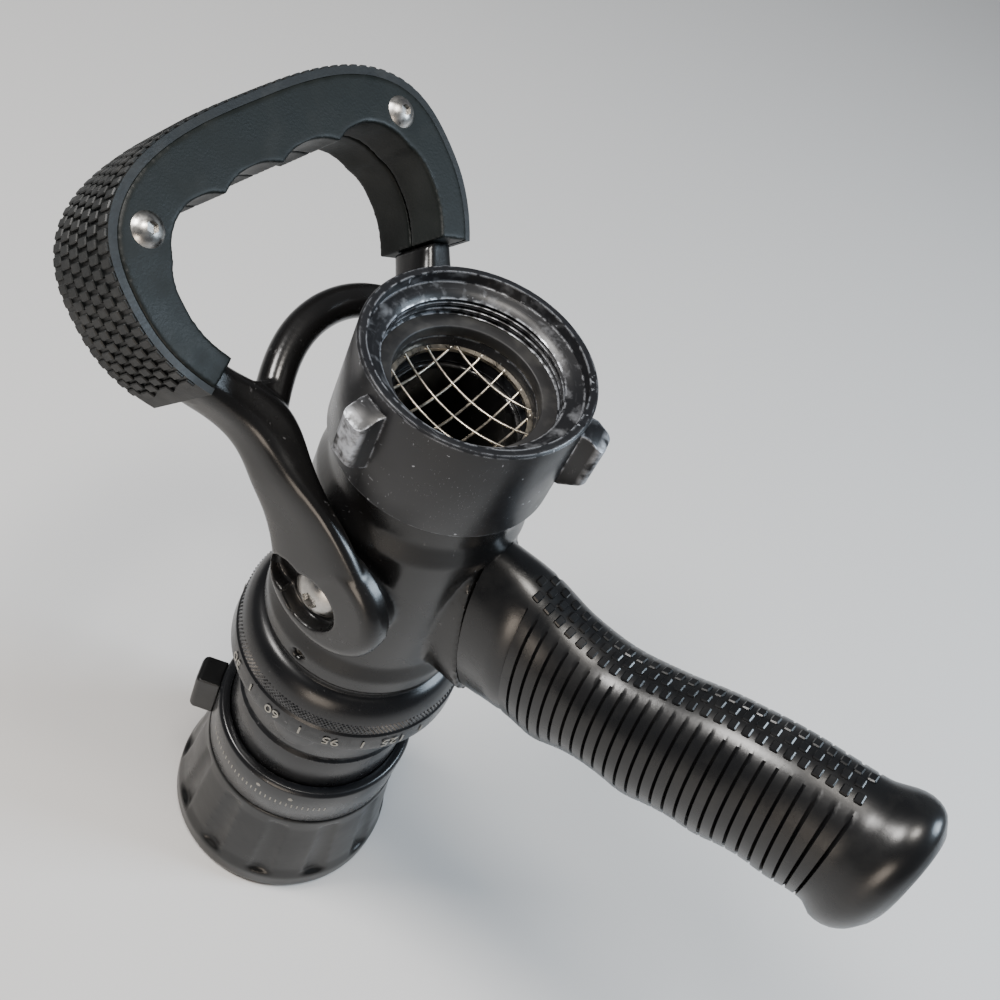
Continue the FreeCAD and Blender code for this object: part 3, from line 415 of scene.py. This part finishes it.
def model_grip():
    """Rubber grip: extruded ring by ring, ribbed on its sides and flared to a domed end."""
    stations = [2.0, 6.0, 10.0, 14.0]
    stations += [GROOVE_START + GROOVE_PITCH * i + step for i in range(GROOVES) for step in GROOVE_STEPS]
    stations += LIP_STATIONS
    bpy.ops.object.select_all(action="DESELECT")
    bpy.ops.mesh.primitive_circle_add(vertices=64, radius=MM, fill_type="NGON", rotation=(0, math.pi / 2, 0))
    grip = bpy.context.object
    grip.name = "pistol_grip_rubber"
    bpy.ops.object.transform_apply(location=False, rotation=True, scale=False)
    edit(grip)
    distance = GRIP_ROWS[0][0]
    middle, half_depth, half_width = grip_values(distance)
    bpy.ops.transform.resize(value=(1, half_width, half_depth), center_override=(0, 0, 0))
    bpy.ops.transform.translate(value=(distance * MM, 0, middle * MM))

    def next_ring(to, new_middle, new_depth, new_width):
        nonlocal distance, middle, half_depth, half_width
        bpy.ops.mesh.extrude_region_move(TRANSFORM_OT_translate={"value": ((to - distance) * MM, 0, 0)})
        bpy.ops.transform.resize(value=(1, new_width / half_width, new_depth / half_depth),
                                 center_override=(to * MM, 0, middle * MM))
        bpy.ops.transform.translate(value=(0, 0, (new_middle - middle) * MM))
        distance, middle, half_depth, half_width = to, new_middle, new_depth, new_width

    for station in stations:
        next_ring(station, *grip_values(station))
    for ring in END_RINGS:
        next_ring(*ring)

    mesh = bmesh.from_edit_mesh(grip.data)
    bpy.ops.mesh.select_all(action="DESELECT")
    for vertex in mesh.verts:
        offset = (vertex.co.x / MM - GROOVE_START) / GROOVE_PITCH
        in_groove = abs(offset - round(offset)) < 0.02 and -0.1 < offset < GROOVES - 0.9
        if in_groove and abs(vertex.co.y) > 0.52 * grip_values(vertex.co.x / MM)[2] * MM:
            vertex.select_set(True)
    bmesh.update_edit_mesh(grip.data)
    bpy.ops.transform.resize(value=(1, GROOVE_SQUEEZE, 1), center_override=(0, 0, 0))
    bpy.ops.mesh.select_all(action="SELECT")
    bpy.ops.mesh.normals_make_consistent(inside=False)
    leave_edit()
    for vertex in grip.data.vertices:
        reach = min(max((vertex.co.x / MM - TILT_START) / TILT_LENGTH, 0), 1)
        vertex.co.x += END_TILT * reach * (vertex.co.z - 3 * MM)
    grip.data.transform(GRIP_PLACE)
    smooth_faces(grip, 32)
    finish_piece(grip, "grip_rubber", "valve", "pistol_grip")


TREAD_START = 15
TREAD_PITCH = 4.05
TREAD_BLOCKS = 26
TREAD_SINK = 0.95


def model_grip_tread():
    """Small blocks in three rows along the back of the grip."""
    block = small_block(2.5 * MM, 3.2 * MM, 1.5 * MM, 0.35 * MM)
    places = []
    for row, shift in ((-3.9, 0.5), (0.0, 0.0), (3.9, 0.5)):
        for i in range(TREAD_BLOCKS):
            distance = TREAD_START + (i + shift) * TREAD_PITCH
            middle, half_depth, half_width = grip_values(distance)
            rise = half_depth * math.sqrt(1 - (row / half_width) ** 2)
            ahead = grip_values(distance + 1)
            slope = math.atan2(ahead[0] + ahead[1] - middle - half_depth, 1)
            lean = math.asin(row / half_width) * 0.75
            spot = Vector((distance, row, middle + rise - TREAD_SINK)) * MM
            places.append(GRIP_PLACE @ Matrix.Translation(spot)
                          @ Matrix.Rotation(-slope, 4, "Y") @ Matrix.Rotation(-lean, 4, "X"))
    tread = join_copies(block, places, "pistol_grip_tread")
    finish_piece(tread, "grip_rubber", "valve")


# ---- shut-off handle ----------------------------------------------------------------
LEAN = math.radians(53)
UP_THE_BAIL = Vector((-math.sin(LEAN), 0, math.cos(LEAN)))
OUT_OF_BAIL = Vector((math.cos(LEAN), 0, math.sin(LEAN)))
BAIL_PLACE = Matrix((
    (0, UP_THE_BAIL.x, OUT_OF_BAIL.x, 0), (1, UP_THE_BAIL.y, OUT_OF_BAIL.y, 0),
    (0, UP_THE_BAIL.z, OUT_OF_BAIL.z, 195 * MM), (0, 0, 0, 1)))
HANDLE_HALF_U = 61.5
HANDLE_WAIST_V = 94.0
HANDLE_RISE = 37.3
HANDLE_POWER = 2.85
TREAD_LOW_W = -4.4
TREAD_HIGH_W = 24.1


def handle_outline():
    """Points up one leg, over the crossbar and down the other, close together."""
    leg = [(HANDLE_HALF_U - 8.5 * ((HANDLE_WAIST_V - v) / 25.0) ** 2, v) for v in range(73, 94)]
    top = []
    for step in range(361):
        angle = math.pi * step / 360
        c, s = math.cos(angle), math.sin(angle)
        top.append((HANDLE_HALF_U * math.copysign(abs(c) ** (2 / HANDLE_POWER), c),
                    HANDLE_WAIST_V + HANDLE_RISE * abs(s) ** (2 / HANDLE_POWER)))
    return leg + top + [(-u, v) for u, v in reversed(leg)]


def along_outline(points, pitch):
    """Evenly spaced places on the outline, each with its direction."""
    places = []
    travelled, due = 0.0, pitch
    for (u0, v0), (u1, v1) in zip(points, points[1:]):
        step = math.hypot(u1 - u0, v1 - v0)
        while step > 0 and travelled + step >= due:
            share = (due - travelled) / step
            places.append((u0 + (u1 - u0) * share, v0 + (v1 - v0) * share, math.atan2(v1 - v0, u1 - u0)))
            due += pitch
        travelled += step
    return places


def model_tread_blocks():
    """Tyre-like rows of blocks round the outside of the handle."""
    places = along_outline(handle_outline(), 1.75)
    columns = 6
    width = (TREAD_HIGH_W - TREAD_LOW_W) / columns
    block = small_block(2.5 * MM, (width - 0.7) * MM, 1.7 * MM, 0.3 * MM)
    spots = []
    for index, (u, v, heading) in enumerate(places):
        for column in range(columns):
            if (index + column) % 2:
                continue
            w = TREAD_LOW_W + width * (column + 0.5)
            edge = abs(column - (columns - 1) / 2) > 2
            sink = 1.05 if edge else 0.75
            normal = heading - math.pi / 2
            spots.append(BAIL_PLACE @ Matrix.Translation((
                (u - sink * math.cos(normal)) * MM, (v - sink * math.sin(normal)) * MM, w * MM))
                @ Matrix.Rotation(heading, 4, "Z") @ Matrix.Rotation(math.pi / 2, 4, "X"))
    tread = join_copies(block, spots, "handle_tread_blocks")
    finish_piece(tread, "tread_rubber", "bail")


# ---- selector ring and marks --------------------------------------------------------
KNURL_R = 38.95 * MM
KNURL_LOW_Z = 133.0
KNURL_ROW_PITCH = 1.15
NUMBER_R = 40.32 * MM
NUMBER_Z = 127.2 * MM
TICK_R = 40.26 * MM
TICK_Z = 127 * MM
FLOW_STEP = 31
SLEEVE_TICK_R = 36.96 * MM
SLEEVE_DOT_R = 36.98 * MM
SLEEVE_TICK_Z = 65 * MM
SLEEVE_DOT_Z = 70 * MM


def model_knurl():
    """Diamond knurling on the selector's upper band."""
    bpy.ops.object.select_all(action="DESELECT")
    bpy.ops.mesh.primitive_cone_add(vertices=4, radius1=0.95 * MM, radius2=0.2 * MM, depth=0.7 * MM)
    tooth = bpy.context.object
    rows, teeth = 5, 168
    places = []
    for row in range(rows):
        for i in range(teeth):
            degrees = 360 / teeth * (i + 0.5 * (row % 2))
            places.append(around(degrees, KNURL_R, (KNURL_LOW_Z + KNURL_ROW_PITCH * row) * MM))
    knurl = join_copies(tooth, places, "selector_knurl")
    finish_piece(knurl, "black_anodised", "selector")


def model_number(word, size, degrees, radius, z, name):
    """One printed number, wrapped flat against a round wall and upside down to the inlet."""
    bpy.ops.object.select_all(action="DESELECT")
    bpy.ops.object.text_add()
    text = bpy.context.object
    text.data.body = word
    text.data.size = size
    text.data.extrude = 0.06 * MM
    text.data.align_x = "CENTER"
    text.data.align_y = "CENTER"
    bpy.ops.object.convert(target="MESH")
    mark = bpy.context.object
    mark.name = name
    edit(mark)
    bpy.ops.mesh.remove_doubles(threshold=0.001 * MM)
    leave_edit()
    mark.data.transform(around(degrees, radius, z) @ Matrix.Rotation(math.pi, 4, "Z"))
    return mark


def model_flow_marks():
    """Flow numbers and ticks printed on the selector's band."""
    for index, word in enumerate(("30", "60", "95", "125")):
        name = "flow_number_%d" % (index + 1)
        mark = model_number(word, 6.2 * MM, -118 + FLOW_STEP * index, NUMBER_R, NUMBER_Z, name)
        finish_piece(mark, "print_marks", "selector")
    tick = small_block(0.7 * MM, 4.0 * MM, 0.16 * MM, 0.04 * MM)
    places = [around(-102.5 + FLOW_STEP * i, TICK_R, TICK_Z) for i in range(4)]
    places += [around(60 + 20 * i, TICK_R, TICK_Z) for i in range(8)]
    ticks = join_copies(tick, places, "flow_ticks")
    finish_piece(ticks, "print_marks", "selector")


def model_sleeve_marks():
    """A pattern scale in short ticks on the sleeve and two round index dots."""
    tick = small_block(0.45 * MM, 2.2 * MM, 0.16 * MM, 0.04 * MM)
    places = [around(-125 + 3.2 * i, SLEEVE_TICK_R, SLEEVE_TICK_Z) for i in range(28)]
    ticks = join_copies(tick, places, "sleeve_scale")
    finish_piece(ticks, "print_marks", "sleeve")
    bpy.ops.object.select_all(action="DESELECT")
    bpy.ops.mesh.primitive_cylinder_add(vertices=24, radius=0.9 * MM, depth=0.3 * MM)
    dot = bpy.context.object
    apply_modifier(dot, "BEVEL", width=0.08 * MM, segments=1)
    places = [around(degrees, SLEEVE_DOT_R, SLEEVE_DOT_Z) for degrees in (-80, -60)]
    dots = join_copies(dot, places, "sleeve_dots")
    finish_piece(dots, "print_marks", "sleeve")


model_grip()
model_grip_tread()
model_tread_blocks()
model_knurl()
model_flow_marks()
model_sleeve_marks()
cast_copy("yoke", "yoke_casting", "black_casting", 0.55 * MM, 9)
cast_copy("valve_body", "valve_body_casting", "black_casting", 0.85 * MM, 3)
cast_copy("bumper", "bumper_moulding", "bumper_rubber", 0.8 * MM, 5)
cast_copy("pattern_lug", "pattern_lug_moulding", "bumper_rubber", 0.35 * MM, 8)
cast_copy("handle_cover_front", "handle_cover_front_moulding", "handle_plastic", 0.5 * MM, 16)
cast_copy("handle_cover_rear", "handle_cover_rear_moulding", "handle_plastic", 0.5 * MM, 16)
edged_copy("swivel_coupling", "swivel_coupling_turning", "worn_anodised", 0.35 * MM, 2)
edged_copy("inlet_gasket", "inlet_gasket_moulding", "gasket_rubber", 0.5 * MM, 3)
edged_copy("selector_ring", "selector_ring_turning", "black_anodised", 0.4 * MM, 2)
edged_copy("pattern_sleeve", "pattern_sleeve_turning", "black_anodised", 0.4 * MM, 2)
edged_copy("barrel", "barrel_turning", "black_anodised", 0.4 * MM, 2)


# ---- floor, lights and camera -------------------------------------------------------
def make_floor():
    """A wide pale floor under the nozzle."""
    bpy.ops.object.select_all(action="DESELECT")
    bpy.ops.mesh.primitive_plane_add(size=8)
    floor = bpy.context.object
    floor.name = "floor"
    material = new_material("pale_floor", (0.6, 0.59, 0.58), 0.0, 0.6)[0]
    floor.data.materials.append(material)


def make_light(name, place, aim, size, power, colour):
    """A rectangular area light at a place, turned to its aim."""
    light = bpy.data.lights.new(name, "AREA")
    light.shape = "RECTANGLE"
    light.size, light.size_y = size
    light.energy = power
    light.color = colour
    lamp = bpy.data.objects.new(name, light)
    lamp.location = place
    lamp.rotation_euler = (Vector(aim) - Vector(place)).to_track_quat("-Z", "Y").to_euler()
    bpy.context.scene.collection.objects.link(lamp)


def make_camera():
    """Looks down on the inlet from the near side, rolled so that the nozzle leans right."""
    place = Vector((0.0891, -0.2235, 0.5029))
    look = Vector((-0.18607, 0.63167, -0.75257))
    up = Vector((-0.65207, 0.49357, 0.57550))
    right = look.cross(up).normalized()
    camera = bpy.data.cameras.new("camera")
    camera.sensor_width = 36
    camera.lens = 45.7
    camera.clip_start = 0.01
    holder = bpy.data.objects.new("camera", camera)
    up = right.cross(look).normalized()
    holder.matrix_world = Matrix((
        (right.x, up.x, -look.x, place.x), (right.y, up.y, -look.y, place.y),
        (right.z, up.z, -look.z, place.z), (0, 0, 0, 1)))
    bpy.context.scene.collection.objects.link(holder)
    bpy.context.scene.camera = holder


make_floor()
CENTRE = (0, 0, 0.18)
make_light("key", (-0.55, -0.35, 1.1), CENTRE, (0.34, 0.26), 15, (1.0, 0.97, 0.94))
make_light("window", (0.75, 0.55, 0.75), CENTRE, (0.35, 0.5), 13, (0.72, 0.86, 1.0))
make_light("fill", (0.35, -1.0, 0.35), CENTRE, (0.4, 0.5), 4.5, (1.0, 0.86, 0.72))
make_light("overhead", (0.05, -0.11, 1.1), (0, 0, 0.22), (0.2, 0.2), 6, (1.0, 0.95, 0.88))
world = bpy.data.worlds.new("studio")
world.use_nodes = True
world.node_tree.nodes["Background"].inputs["Color"].default_value = (0.8, 0.84, 0.9, 1)
world.node_tree.nodes["Background"].inputs["Strength"].default_value = 0.2
bpy.context.scene.world = world
make_camera()
